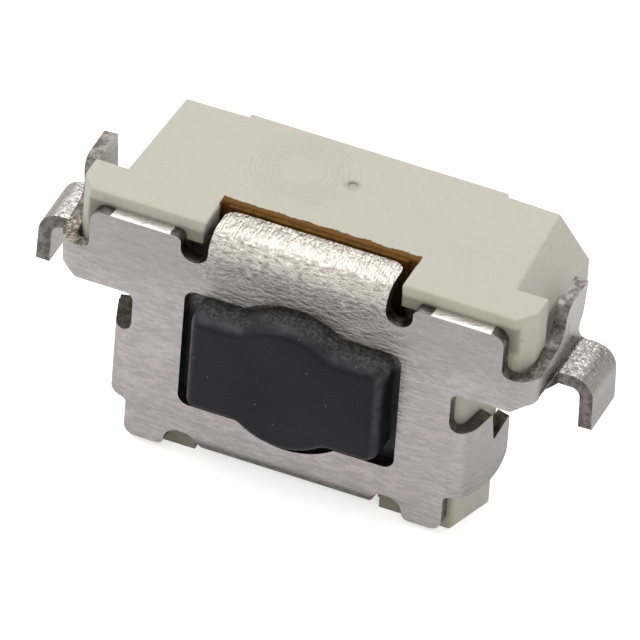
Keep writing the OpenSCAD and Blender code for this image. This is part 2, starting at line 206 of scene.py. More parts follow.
# ---- Mesh helpers -------------------------------------------------------------------------


def select_only(obj):
    if bpy.context.object and bpy.context.object.mode != "OBJECT":
        bpy.ops.object.mode_set(mode="OBJECT")
    bpy.ops.object.select_all(action="DESELECT")
    obj.select_set(True)
    bpy.context.view_layer.objects.active = obj


def edit(obj):
    select_only(obj)
    bpy.ops.object.mode_set(mode="EDIT")
    bpy.ops.mesh.select_all(action="SELECT")


def done():
    bpy.ops.object.mode_set(mode="OBJECT")


def face_outwards(obj):
    edit(obj)
    bpy.ops.mesh.normals_make_consistent(inside=False)
    done()


def apply_all(obj):
    select_only(obj)
    for modifier in list(obj.modifiers):
        bpy.ops.object.modifier_apply(modifier=modifier.name)


def settle(obj, name, body, material, nodes):
    """Takes a finished piece from millimetres to metres, names it and gives it its finish and body."""
    select_only(obj)
    obj.scale = (MM, MM, MM)
    bpy.ops.object.transform_apply(location=True, rotation=True, scale=True)
    obj.name = name
    obj.data.name = name
    if material:
        obj.data.materials.clear()
        obj.data.materials.append(material)
    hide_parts(*nodes)
    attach(obj, body)


def rounded(corners, steps):
    """The closed outline through corners (x, z, radius), with an arc at each radius."""
    out = []
    count = len(corners)
    for i, (x, z, r) in enumerate(corners):
        here = Vector((x, z))
        a = (Vector(corners[i - 1][:2]) - here).normalized()
        b = (Vector(corners[(i + 1) % count][:2]) - here).normalized()
        half = a.angle(b) / 2
        reach = r / math.tan(half)
        middle = here + (a + b).normalized() * (r / math.sin(half))
        start = (here + a * reach) - middle
        turn = start.angle_signed((here + b * reach) - middle)
        number = max(2, round(steps * abs(turn) / (math.pi / 2)))
        for k in range(number + 1):
            t = -turn * k / number
            out.append(middle + Vector((start.x * math.cos(t) - start.y * math.sin(t),
                                        start.x * math.sin(t) + start.y * math.cos(t))))
    return out


def tidy_loop(points):
    """Leaves out points that fall on their neighbour."""
    out = []
    for p in points:
        if not out or (p - out[-1]).length > SAME_POINT:
            out.append(p)
    if (out[0] - out[-1]).length < SAME_POINT:
        out.pop()
    return out


def flat_face(name, loops):
    """A flat mesh in the XZ plane, filled between its outer loop and its holes."""
    mesh = bpy.data.meshes.new(name)
    points, edges = [], []
    for loop in loops:
        first = len(points)
        points += [(p.x, 0, p.y) for p in loop]
        edges += [(first + i, first + (i + 1) % len(loop)) for i in range(len(loop))]
    mesh.from_pydata(points, edges, [])
    obj = bpy.data.objects.new(name, mesh)
    bpy.context.scene.collection.objects.link(obj)
    edit(obj)
    bpy.ops.mesh.fill(use_beauty=True)
    bpy.ops.mesh.select_all(action="SELECT")
    bpy.ops.mesh.dissolve_limited(angle_limit=FLAT_ANGLE, use_dissolve_boundaries=False)
    done()
    return obj


def belly_loop(inset, steps, valley=0.0):
    """Outline of the opening, or of the button when it is made smaller and gets a round valley beside each belly."""
    half_w = OPEN_HALF_W - inset
    half_h = OPEN_HALF_H - inset
    r = BELLY_R - inset
    # The middle of the valley, by which the belly leaves the straight edge
    up = half_h + valley
    far = math.sqrt((r + valley) ** 2 - (up - BELLY_OFF) ** 2)
    start = math.atan2(up - BELLY_OFF, far)
    sweep = [(math.pi / 2 - start) * k / steps for k in range(steps)] if valley else []
    inner = [Vector((far - valley * math.sin(t), up - valley * math.cos(t))) for t in sweep]
    count = steps * BELLY_TURNS
    arc = [start + (math.pi - 2 * start) * k / count for k in range(count + 1)]
    belly = [Vector((r * math.cos(t), BELLY_OFF + r * math.sin(t))) for t in arc]
    top = inner + belly + [Vector((-p.x, p.y)) for p in reversed(inner)]
    low = [Vector((-p.x, -p.y)) for p in top]
    corners = rounded([(x * half_w, z * half_h, OPEN_CORNER) for x, z in QUARTERS], steps)
    quarter = len(corners) // 4
    loop = corners[:quarter] + top + corners[quarter:3 * quarter] + low + corners[3 * quarter:]
    return tidy_loop([Vector((p.x, p.y + BUTTON_Z)) for p in loop])


# ---- The bent cover -----------------------------------------------------------------------


def ear_run(y):
    """Distance along the flat sheet of a point on the ear that is y deep."""
    return EAR_BEND_END + y - BEND_OUT


def flange_run(y):
    """Distance along the flat sheet of a point on the lower flange that is y deep."""
    return FLANGE_END + (y - BEND_OUT + BEND_MID * math.sin(LEAN)) / math.cos(LEAN)


def blank_outline(steps):
    """The cover's blank before bending, as a closed outline of width and height."""
    tab_end = TAB_BEND_Z + BEND_RUN + TAB_D - BEND_OUT
    foot_end = FOOT_BEND_Z - FOOT_RUN - (FOOT_D - FOOT_OUT)
    hook_end = ROOT_Z - 2 * BEND_RUN - HOOK_FLAT - HOOK_LEG
    notch_r = (RELIEF_OUT - TAB_HALF) / 2 - HAIR
    # Each corner of the right half: how far out, how high, and its radius
    right = [
        (TAB_HALF, tab_end, 0.13), (TAB_HALF, RELIEF_Z, notch_r), (RELIEF_OUT, RELIEF_Z, notch_r),
        (RELIEF_OUT, SHOULDER_Z, 0.07), (SHOULDER, SHOULDER_Z, 0.13), (SHOULDER, EAR_RELIEF_Z, 0.09),
        (EAR_BEND_END, EAR_RELIEF_Z, 0.1), (ear_run(0.5), EAR_RELIEF_Z + 0.05, 0.1),
        (ear_run(EAR_FRONT), EAR_RELIEF_Z + 0.07, 0.19),
        (ear_run(EAR_FRONT), SHOULDER_Z, 0.14), (ear_run(EAR_BACK), SHOULDER_Z, 0.02),
        (ear_run(EAR_BACK), EAR_STEP_Z, 0.03), (ear_run(HOOK_BACK), EAR_FOOT_Z, 0.03),
        (ear_run(HOOK_BACK), hook_end, 0.03), (ear_run(HOOK_FRONT), hook_end, 0.03),
        (ear_run(HOOK_FRONT), WING_SIDE_Z, 0.06), (EAR_BEND_X + 0.1, WING_SIDE_Z, 0.06),
        (EAR_BEND_X - 0.01, WING_Z, 0.06), (LOW_HALF, WING_Z, 0.09), (LOW_HALF, FLANGE_TOP_Z, 0.12),
        (flange_run(0.25), FLANGE_TOP_Z, 0.06), (flange_run(0.46), FLANGE_TOP_Z + 0.045, 0.01),
        (flange_run(0.507), VEE_Z, 0.012), (flange_run(0.72), FLANGE_STEP_Z, 0.012),
        (flange_run(FLANGE_D), FLANGE_STEP_Z, 0.012), (flange_run(FLANGE_D), FLANGE_LOW_Z, 0.35),
        (LOW_HALF, FLANGE_LOW_Z, 0.05), (LOW_HALF, PLATE_LOW_Z, 0.13), (FOOT_NOTCH, PLATE_LOW_Z, 0.08),
        (FOOT_NOTCH, FOOT_NOTCH_Z, 0.165), (FOOT_HALF, FOOT_NOTCH_Z, 0.2), (FOOT_HALF, foot_end, 0.13),
    ]
    left = [(-x, z, r) for x, z, r in reversed(right)]
    return tidy_loop(rounded(right + left, steps))


def wrap(run, radius, bend=math.pi / 2):
    """How far on, and how far behind the flat sheet, a point comes to lie that is run along a bend and past it."""
    turn = min(run / radius, bend)
    over = max(0.0, run - radius * bend)
    return radius * math.sin(turn) + over * math.cos(bend), radius * (1 - math.cos(turn)) + over * math.sin(bend)


def bend_point(x, z):
    """Where a point of the flat blank comes to lie once the cover is bent."""
    side = 1 if x >= 0 else -1
    wide = abs(x)
    y = SHEET / 2
    if wide <= TAB_HALF + HAIR and z > TAB_BEND_Z:
        on, deep = wrap(z - TAB_BEND_Z, BEND_MID)
        return (x, y + deep, TAB_BEND_Z + on)
    if wide <= FOOT_FLARE and z < FOOT_BEND_Z:
        on, deep = wrap(FOOT_BEND_Z - z, FOOT_MID)
        return (x, y + deep, FOOT_BEND_Z - on)
    if LOW_HALF < wide < FLANGE_REACH and z < FLANGE_SPLIT_Z:
        on, deep = wrap(wide - LOW_HALF, BEND_MID, math.pi / 2 - LEAN)
        return (side * (LOW_HALF + on), y + deep, z)
    if wide > EAR_BEND_X:
        run = wide - EAR_BEND_X
        on, deep = wrap(run, BEND_MID)
        if z < ROOT_Z and wide >= ear_run(HOOK_FRONT) - HOOK_LAP:
            return hook_point(side, y + deep, ROOT_Z - z)
        splay = EAR_SPLAY * min(1.0, run / BEND_RUN) * (z - SPLAY_Z)
        return (side * (EAR_BEND_X + on + splay), y + deep, z)
    return (x, y, z)


def hook_point(side, y, run):
    """A point of the hook, run along the strip from the ear's foot."""
    whole = 2 * BEND_RUN + HOOK_FLAT + HOOK_LEG
    lean = EAR_SPLAY * (ROOT_Z - SPLAY_Z) * (1 - run / whole)
    if run <= BEND_RUN:
        turn = run / BEND_MID
        return (side * (HOOK_ROOT_X - BEND_MID * math.cos(turn) + lean), y, ROOT_Z - BEND_MID * math.sin(turn))
    run -= BEND_RUN
    mid_z = ROOT_Z - BEND_MID
    if run <= HOOK_FLAT:
        return (side * (HOOK_ROOT_X + run + lean), y, mid_z)
    run -= HOOK_FLAT
    if run <= BEND_RUN:
        turn = run / BEND_MID
        return (side * (HOOK_TURN_X + BEND_MID * math.sin(turn) + lean), y, HOOK_TURN_Z + BEND_MID * math.cos(turn))
    run -= BEND_RUN
    return (side * (HOOK_TURN_X + BEND_MID + lean), y, HOOK_TURN_Z - run)


def cut_planes():
    """The planes that cut the flat blank, so that each bend has enough faces: a spot and a normal for each."""
    planes = []
    for k in range(BEND_STEPS + 1):
        part = k / BEND_STEPS
        for side in (-1, 1):
            for x in (EAR_BEND_X + BEND_RUN * part, LOW_HALF + FLANGE_RUN * part):
                planes.append(((side * x, 0, 0), (1, 0, 0)))
        for z in (TAB_BEND_Z + BEND_RUN * part, FOOT_BEND_Z - FOOT_RUN * part, ROOT_Z - BEND_RUN * part,
                  ROOT_Z - BEND_RUN - HOOK_FLAT - BEND_RUN * part):
            planes.append(((0, 0, z), (0, 0, 1)))
    return planes


class SWITCH_OT_cover(bpy.types.Operator):
    """Cuts the cover's blank, bends it and gives it the sheet's thickness"""
    bl_idname = "switch.cover"
    bl_label = "Bent Metal Cover"

    def execute(self, context):
        sizes = context.scene.switch_sizes
        obj = flat_face("cover", [blank_outline(sizes.arc_steps), belly_loop(0, sizes.arc_steps)])
        edit(obj)
        for spot, normal in cut_planes():
            bpy.ops.mesh.select_all(action="SELECT")
            bpy.ops.mesh.bisect(plane_co=spot, plane_no=normal)
        bpy.ops.mesh.select_all(action="SELECT")
        bpy.ops.mesh.remove_doubles(threshold=SAME_POINT)
        done()
        for v in obj.data.vertices:
            x, y, z = bend_point(v.co.x, v.co.z)
            v.co = (x, y - MID_Y, z)
        face_outwards(obj)
        for finish in (sheet_metal, cut_metal):
            obj.data.materials.append(finish(context))
        wall = obj.modifiers.new("Sheet", "SOLIDIFY")
        wall.material_offset_rim = 1
        wall.thickness = SHEET
        wall.offset = 0
        wall.use_even_offset = True
        soft = obj.modifiers.new("Edges", "BEVEL")
        soft.width = sizes.sheet_edge
        soft.segments = 2
        soft.limit_method = "ANGLE"
        soft.angle_limit = SHEET_SHARP
        soft.use_clamp_overlap = True
        apply_all(obj)
        face_outwards(obj)
        bpy.ops.object.shade_smooth_by_angle(angle=SHEET_SMOOTH)
        settle(obj, "metal_cover", "switch_body", None, ["metal_frame"])
        return {"FINISHED"}


# ---- The moulded base ---------------------------------------------------------------------


def outer_place(spot):
    """Whether an edge's middle lies on the base's outside, clear of the contacts' channels."""
    x, y, z = abs(spot.x), spot.y + MID_Y, spot.z
    under = abs(z - UNDER_Z) < LEVEL and x < UNDER_HALF
    outside = z > TOP_FROM_Z or y > BACK_FROM_Y or x > SIDE_FROM_X or (y > FOOT_FROM_Y and z < LEVEL)
    return outside and not under


class SWITCH_OT_base(bpy.types.Operator):
    """Gives a copy of the CAD's moulded base soft outer edges"""
    bl_idname = "switch.base"
    bl_label = "Moulded Base"

    def execute(self, context):
        sizes = context.scene.switch_sizes
        obj = bpy.data.objects.new("base_body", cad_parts["base"].data.copy())
        context.scene.collection.objects.link(obj)
        obj.data.transform(Matrix.Scale(1 / MM, 4))
        edit(obj)
        bpy.ops.mesh.remove_doubles(threshold=SLACK)
        bpy.ops.mesh.dissolve_degenerate(threshold=SLACK)
        bpy.ops.mesh.dissolve_limited(angle_limit=MERGE_ANGLE)
        bpy.ops.mesh.normals_make_consistent(inside=False)
        bpy.ops.mesh.select_all(action="DESELECT")
        bpy.ops.mesh.select_mode(type="EDGE")
        bpy.ops.mesh.edges_select_sharp(sharpness=MOULD_SHARP)
        done()
        # A bevel keeps to edges flagged here only if no point or face is flagged with them
        points = obj.data.vertices
        for item in (*points, *obj.data.polygons):
            item.select = False
        gate = Vector((0, GATE_Y - MID_Y))
        for e in obj.data.edges:
            first, last = (points[i].co for i in e.vertices)
            clear = all((end.xy - gate).length > SHORT_EDGE for end in (first, last))
            long = (first - last).length > SHORT_EDGE
            e.select = e.select and clear and long and outer_place((first + last) / 2)
        bpy.ops.object.mode_set(mode="EDIT")
        bpy.ops.mesh.bevel(offset=sizes.mould_edge, segments=3, profile=0.5, affect="EDGES", clamp_overlap=False)
        bpy.ops.mesh.select_mode(type="VERT")
        done()
        # The top face stays level where its inner corners are rounded
        for point in obj.data.vertices:
            point.co.z = min(point.co.z, BODY_H)
        bpy.ops.object.shade_smooth_by_angle(angle=MOULD_SMOOTH)
        even = obj.modifiers.new("Normals", "WEIGHTED_NORMAL")
        even.keep_sharp = True
        apply_all(obj)
        settle(obj, "moulded_base", "switch_body", cream_moulding(context), ["base"])
        return {"FINISHED"}


# ---- The button ---------------------------------------------------------------------------


def raised(loop, back, front, name):
    """A closed prism over an outline, from the depth back to the depth front."""
    obj = flat_face(name, [loop])
    edit(obj)
    bpy.ops.transform.translate(value=(0, back, 0))
    bpy.ops.mesh.extrude_region_move(TRANSFORM_OT_translate={"value": (0, front - back, 0)})
    bpy.ops.mesh.select_all(action="SELECT")
    bpy.ops.mesh.normals_make_consistent(inside=False)
    done()
    return obj


def join_solid(obj, other):
    """Adds another closed solid to obj with an exact union."""
    modifier = obj.modifiers.new("Join", "BOOLEAN")
    modifier.operation = "UNION"
    modifier.solver = "EXACT"
    modifier.object = other
    select_only(obj)
    bpy.ops.object.modifier_apply(modifier=modifier.name)
    bpy.data.objects.remove(other)


class SWITCH_OT_button(bpy.types.Operator):
    """Builds the button with its round front edge, retaining flange and nub"""
    bl_idname = "switch.button"
    bl_label = "Push Button"

    def execute(self, context):
        sizes = context.scene.switch_sizes
        front = -BUTTON_PROUD
        lap_y = FLANGE_Y + CAP_LAP
        obj = raised(belly_loop(BUTTON_GAP, sizes.arc_steps, VALLEY), lap_y, front, "button_cap")
        edit(obj)
        bpy.ops.mesh.select_all(action="DESELECT")
        done()
        for e in obj.data.edges:
            e.select = all(abs(obj.data.vertices[i].co.y - front) < SLACK for i in e.vertices)
        bpy.ops.object.mode_set(mode="EDIT")
        bpy.ops.mesh.bevel(offset=sizes.button_edge, segments=10, profile=0.5, affect="EDGES", clamp_overlap=False)
        bpy.ops.mesh.select_all(action="SELECT")
        bpy.ops.mesh.remove_doubles(threshold=SAME_POINT)
        done()
        # The round edge is drawn out, deeper than it is wide
        for v in obj.data.vertices:
            if v.co.y < front + sizes.button_edge + SLACK:
                v.co.y = front + (v.co.y - front) * EDGE_STRETCH
        corners = [(x * FLANGE_HALF_W, BUTTON_Z + z * FLANGE_HALF_H, FLANGE_CORNER) for x, z in QUARTERS]
        join_solid(obj, raised(tidy_loop(rounded(corners, sizes.arc_steps)), FLANGE_Y + FLANGE_T, FLANGE_Y, "flange"))
        turns = [2 * math.pi * k / NUB_STEPS for k in range(NUB_STEPS)]
        circle = [Vector((NUB_R * math.cos(t), BUTTON_Z + NUB_R * math.sin(t))) for t in turns]
        join_solid(obj, raised(circle, NUB_END, lap_y, "nub"))
        for v in obj.data.vertices:
            v.co.y -= MID_Y
        select_only(obj)
        bpy.ops.object.shade_smooth_by_angle(angle=MOULD_SMOOTH)
        settle(obj, "push_button", "push_button", black_moulding(context), ["button"])
        return {"FINISHED"}


# ---- Shared shader groups -----------------------------------------------------------------

# Noise patterns: waves in a millimetre, detail, roughness, and how much denser they are along X, Y and Z
FINE_LINES = (1.0, 3, 0.6, (8, 8, 30))
COARSE_LINES = (1.0, 2, 0.5, (2.6, 2.6, 11))
FLECK = (1.0, 3, 0.65, (12, 26, 26))
ACROSS = (1.0, 2, 0.6, (30, 7, 7))
CRUMPLE = (11.0, 2, 0.5)
TONE = (1.1, 4, 0.65)
PATCH = (3.1, 3, 0.6)
STRIPES = (10.0, 3, 0.6)
FINE = (28.0, 2, 0.6)
GRAIN = (1.0, 3, 0.6)
DRIFT = (0.9, 2, 0.5)
MOTTLE = (17.0, 3, 0.7)
RAGGED = (5.0, 4, 0.7)
RUBBED = (30.0, 3, 0.7)
DUSTY = (7.0, 4, 0.7)
# Share of the fine lines in the drawn sheet
FINE_SHARE = 0.75


def new_group(name, inputs, outputs):
    group = bpy.data.node_groups.new(name, "ShaderNodeTree")
    for label, kind, value in inputs:
        socket = group.interface.new_socket(name=label, in_out="INPUT", socket_type=kind)
        if value is not None:
            socket.default_value = value
    for label, kind in outputs:
        group.interface.new_socket(name=label, in_out="OUTPUT", socket_type=kind)
    return group, group.nodes.new("NodeGroupInput"), group.nodes.new("NodeGroupOutput")


def feed(tree, socket, value):
    """Links a node's output to a socket, or writes a plain number or colour into it."""
    if isinstance(value, (int, float)):
        socket.default_value = value
    elif isinstance(value, tuple):
        socket.default_value = (*value, 1)
    else:
        tree.links.new(value, socket)


def math_node(tree, operation, *values):
    node = tree.nodes.new("ShaderNodeMath")
    node.operation = operation
    for socket, value in zip(node.inputs, values):
        feed(tree, socket, value)
    return node.outputs[0]


def chain(tree, operation, first, others):
    for other in others:
        first = math_node(tree, operation, first, other)
    return first


def times(tree, first, *others):
    return chain(tree, "MULTIPLY", first, others)


def plus(tree, first, *others):
    return chain(tree, "ADD", first, others)


def minus(tree, first, *others):
    return chain(tree, "SUBTRACT", first, others)


def larger(tree, first, *others):
    return chain(tree, "MAXIMUM", first, others)


def rise(tree, value, band, low=0.0, high=1.0):
    """A smooth step from low to high, where the value crosses the band."""
    node = tree.nodes.new("ShaderNodeMapRange")
    node.interpolation_type = "SMOOTHSTEP"
    for label, number in zip(("Value", "From Min", "From Max", "To Min", "To Max"), (value, *band, low, high)):
        feed(tree, node.inputs[label], number)
    return node.outputs["Result"]


def fall(tree, value, band, high=1.0):
    """A smooth step from high down to nothing."""
    return rise(tree, value, band, high, 0.0)


def noise_node(tree, vector, scale, detail, roughness, stretch=None):
    """Noise on object coordinates; scale is in waves for each millimetre."""
    node = tree.nodes.new("ShaderNodeTexNoise")
    for label, number in (("Scale", scale / MM), ("Detail", detail), ("Roughness", roughness)):
        node.inputs[label].default_value = number
    if stretch:
        mapping = tree.nodes.new("ShaderNodeMapping")
        mapping.inputs["Scale"].default_value = stretch
        tree.links.new(vector, mapping.inputs["Vector"])
        vector = mapping.outputs["Vector"]
    tree.links.new(vector, node.inputs["Vector"])
    return node.outputs["Fac"]


def mix_node(tree, factor, first, second):
    node = tree.nodes.new("ShaderNodeMix")
    node.data_type = "RGBA"
    # Of the node's sockets, these three are the factor and the two colours
    for number, value in ((0, factor), (6, first), (7, second)):
        feed(tree, node.inputs[number], value)
    return node.outputs[2]


def streak_group():
    """Fine drawn lines, as on rolled sheet: a height and a mask."""
    name = "Drawn Lines"
    if name in bpy.data.node_groups:
        return bpy.data.node_groups[name]
    group, inside, outside = new_group(
        name, [("Vector", "NodeSocketVector", None), ("Strength", "NodeSocketFloat", 1.0)],
        [("Height", "NodeSocketFloat"), ("Mask", "NodeSocketFloat")])
    vector = inside.outputs["Vector"]
    fine = noise_node(group, vector, *FINE_LINES)
    coarse = noise_node(group, vector, *COARSE_LINES)
    both = plus(group, times(group, fine, FINE_SHARE), times(group, coarse, 1 - FINE_SHARE))
    feed(group, outside.inputs["Height"], times(group, both, inside.outputs["Strength"]))
    feed(group, outside.inputs["Mask"], rise(group, both, (0.38, 0.62)))
    return group


def grain_group():
    """Even fine grain with a slow drift, for mouldings: a height and a tone."""
    name = "Moulded Grain"
    if name in bpy.data.node_groups:
        return bpy.data.node_groups[name]
    group, inside, outside = new_group(
        name, [("Vector", "NodeSocketVector", None), ("Grain", "NodeSocketFloat", 20.0)],
        [("Height", "NodeSocketFloat"), ("Tone", "NodeSocketFloat")])
    vector = inside.outputs["Vector"]
    scaled = group.nodes.new("ShaderNodeVectorMath")
    scaled.operation = "SCALE"
    feed(group, scaled.inputs[0], vector)
    feed(group, scaled.inputs["Scale"], inside.outputs["Grain"])
    feed(group, outside.inputs["Height"], noise_node(group, scaled.outputs[0], *GRAIN))
    feed(group, outside.inputs["Tone"], noise_node(group, vector, *DRIFT))
    return group


def speck_group():
    """Scattered round specks of dirt or dust: a mask, full at the core and gone at the rim."""
    name = "Specks"
    if name in bpy.data.node_groups:
        return bpy.data.node_groups[name]
    group, inside, outside = new_group(
        name, [("Vector", "NodeSocketVector", None), ("Spread", "NodeSocketFloat", 2000.0),
               ("Core", "NodeSocketFloat", 0.02), ("Rim", "NodeSocketFloat", 0.05)],
        [("Mask", "NodeSocketFloat")])
    cells = group.nodes.new("ShaderNodeTexVoronoi")
    feed(group, cells.inputs["Vector"], inside.outputs["Vector"])
    feed(group, cells.inputs["Scale"], inside.outputs["Spread"])
    band = (inside.outputs["Core"], inside.outputs["Rim"])
    feed(group, outside.inputs["Mask"], fall(group, cells.outputs["Distance"], band))
    return group


def new_material(name):
    material = bpy.data.materials.new(name)
    material.use_nodes = True
    tree = material.node_tree
    shader = tree.nodes["Principled BSDF"]
    place = tree.nodes.new("ShaderNodeTexCoord").outputs["Object"]
    return material, tree, shader, place


def use_group(tree, group, place, **values):
    node = tree.nodes.new("ShaderNodeGroup")
    node.node_tree = group
    tree.links.new(place, node.inputs["Vector"])
    set_values(node, values)
    return node.outputs


def set_values(node, values):
    for label, value in values.items():
        node.inputs[label].default_value = value


def bump_node(tree, shader, height, distance):
    """Bumps a finish by a height; distance is in millimetres."""
    node = tree.nodes.new("ShaderNodeBump")
    node.inputs["Strength"].default_value = 1.0
    node.inputs["Distance"].default_value = distance * MM
    tree.links.new(height, node.inputs["Height"])
    tree.links.new(node.outputs["Normal"], shader.inputs["Normal"])


def axis_values(tree, place):
    """Place on the part in millimetres: to the right, how far from the middle, behind the plate's face, and up."""
    scaled = tree.nodes.new("ShaderNodeVectorMath")
    scaled.operation = "MULTIPLY_ADD"
    tree.links.new(place, scaled.inputs[0])
    scaled.inputs[1].default_value = (1 / MM, 1 / MM, 1 / MM)
    scaled.inputs[2].default_value = (0, MID_Y, 0)
    node = tree.nodes.new("ShaderNodeSeparateXYZ")
    tree.links.new(scaled.outputs[0], node.inputs[0])
    x, y, z = node.outputs
    return x, math_node(tree, "ABSOLUTE", x), y, z


def distance_from(tree, x, y, spot):
    dx, dy = minus(tree, x, spot[0]), minus(tree, y, spot[1])
    return math_node(tree, "SQRT", plus(tree, times(tree, dx, dx), times(tree, dy, dy)))


def tints(base, table):
    """A finish's own colour times each of the factors in a table, by name."""
    return {name: tuple(min(1.0, c * f) for c, f in zip(base, factors)) for name, factors in table.items()}


def layered(tree, colour, tint, layers):
    """Lays one tint after the other over a colour, each by its own mask."""
    for mask, name in layers:
        colour = mix_node(tree, mask, colour, tint[name])
    return colour


# ---- Finishes -----------------------------------------------------------------------------

# Factors on each finish's own colour
SHEET_TINTS = {
    "own": (1, 1, 1), "pink": (1.03, 0.93, 0.92), "dim": (0.66, 0.66, 0.66), "warm_highlight": (1.36, 1.33, 1.2),
    "glint": (1.58, 1.57, 1.48), "brown_shade": (0.68, 0.6, 0.54), "foot_shade": (0.1, 0.085, 0.085), "pit": (0.42, 0.39, 0.375),
}
CUT_TINTS = {
    "dark": (0.19, 0.18, 0.165), "pale": (0.4, 0.375, 0.35), "rust": (0.5, 0.4, 0.28), "perch": (0.6, 0.5625, 0.525),
    "painted_sparkle": (0.72, 0.66, 0.49), "bright": (1.65, 1.65, 1.65),
}
CREAM_TINTS = {
    "own": (1, 1, 1), "cool": (0.96, 0.985, 1.02), "mottle": (0.93, 0.93, 0.93), "level": (0.84, 0.84, 0.84),
    "front_shade": (0.66, 0.56, 0.36), "grime_and_shade": (0.26, 0.23, 0.22), "gate": (0.6, 0.6, 0.6),
}
BLACK_TINTS = {"own": (1, 1, 1), "pale": (1.5, 1.5, 1.5)}
BLACK_MARKS = {"dust": (0.5, 0.48, 0.46), "top_highlight": (0.25, 0.245, 0.24)}
FILM_TINTS = {"own": (1, 1, 1), "deep": (0.55, 0.55, 0.55)}
PLATED_TINTS = {"own": (1, 1, 1), "dim": (0.85, 0.85, 0.85)}
STEEL = (0.7, 0.69, 0.66)

# Bands in millimetres, across which a finish changes. X is counted from the middle, Y from the plate's face
STRETCHED_Y = (0.02, 0.1)
TAB_SKIN_X, TAB_SKIN_Z = (1.0, 1.25), (2.3, 2.62)
TAB_FLAT_Y, TAB_FLAT_Z = (0.12, 0.2), (2.86, 2.92)
TAB_LIT_Z = (2.6, 2.85)
SMOOTH_X = (1.2, 1.4)
CROWN_X, CROWN_Z = (2.74, 2.78), (1.85, 1.95)
HOOK_LIT_X, HOOK_LIT_Z = (2.6, 2.75), (1.8, 2.05)
OUTER_SHADE_X, OUTER_SHADE_Z = (2.94, 3.04), (1.8, 1.95)
LEG_X, LEG_Z = (2.95, 3.05), (1.7, 1.9)
TOP_SHADE_Z = (1.9, 2.5)
FOOT_SHADE_X, FOOT_SHADE_Z = (1.1, 1.2), (0.165, 0.29)
SHOULDER_LIGHT_IN_X, SHOULDER_LIGHT_OUT_X, SHOULDER_LIGHT_Z = (1.505, 1.52), (2.175, 2.19), (2.8, 2.83)
PERCH_X, PERCH_Y = (2.5, 2.55), (0.55, 0.7)
SPARKLE_X, SPARKLE_Y, SPARKLE_LOW_Z, SPARKLE_TOP_Z = (2.3, 2.4), (0.35, 0.5), (2.05, 2.12), (2.45, 2.55)
LEFT_TO_RIGHT = (-0.1, 0.1)
LEVEL_Z = (2.97, 2.99)
FRONT_SHADE_Y, FRONT_SHADE_Z = (0.155, 0.22), (2.72, 3.0)
NOTCH_SHADE_X, NOTCH_SHADE_Z = (1.4, 1.5), (0.3, 0.45)
CREVICE_LOW_Z, CREVICE_TOP_Z = (2.5, 2.6), (2.85, 2.9)
NOTCH_X, NOTCH_FRONT_Y, NOTCH_REAR_Y, NOTCH_Z = (1.125, 1.135), (0.5, 0.56), (0.625, 0.64), (2.3, 2.4)
GATE_MARK = (0.11, 0.14)
SWIRL_IN, SWIRL_OUT, SWIRL_Z = (0.15, 0.25), (0.45, 0.85), (2.95, 2.98)
BUTTON_SIDE_Y = (0.01 - BUTTON_PROUD, 0.05 - BUTTON_PROUD)
TOP_LIGHT_Y, TOP_LIGHT_Z = (0.02 - BUTTON_PROUD, 0.3 - BUTTON_PROUD), (1.8, 1.95)

# Other measures of the finishes, in millimetres
SHOULDER_LIGHT_SHIFT = 0.035
SHOULDER_LIGHT_WAVE = 0.05
NOTCH_RAGGED = 0.1
GATE_RAGGED = 0.06
SOFT_DEPTH = 0.15
SHEET_BUMP = 0.017
CUT_BUMP = 0.014
CREAM_BUMP = 0.01
BLACK_BUMP = 0.008
PLATED_BUMP = 0.002

# What the skin of the ears, flanges and legs keeps of the flecks
SMOOTH_REST = 0.15


def bend_mask(tree, wide, y, z):
    """Where the sheet is stretched: behind the plate's face, and about the tab's bend."""
    tab_skin = times(tree, rise(tree, z, TAB_SKIN_Z), fall(tree, wide, TAB_SKIN_X))
    return larger(tree, rise(tree, y, STRETCHED_Y), tab_skin)


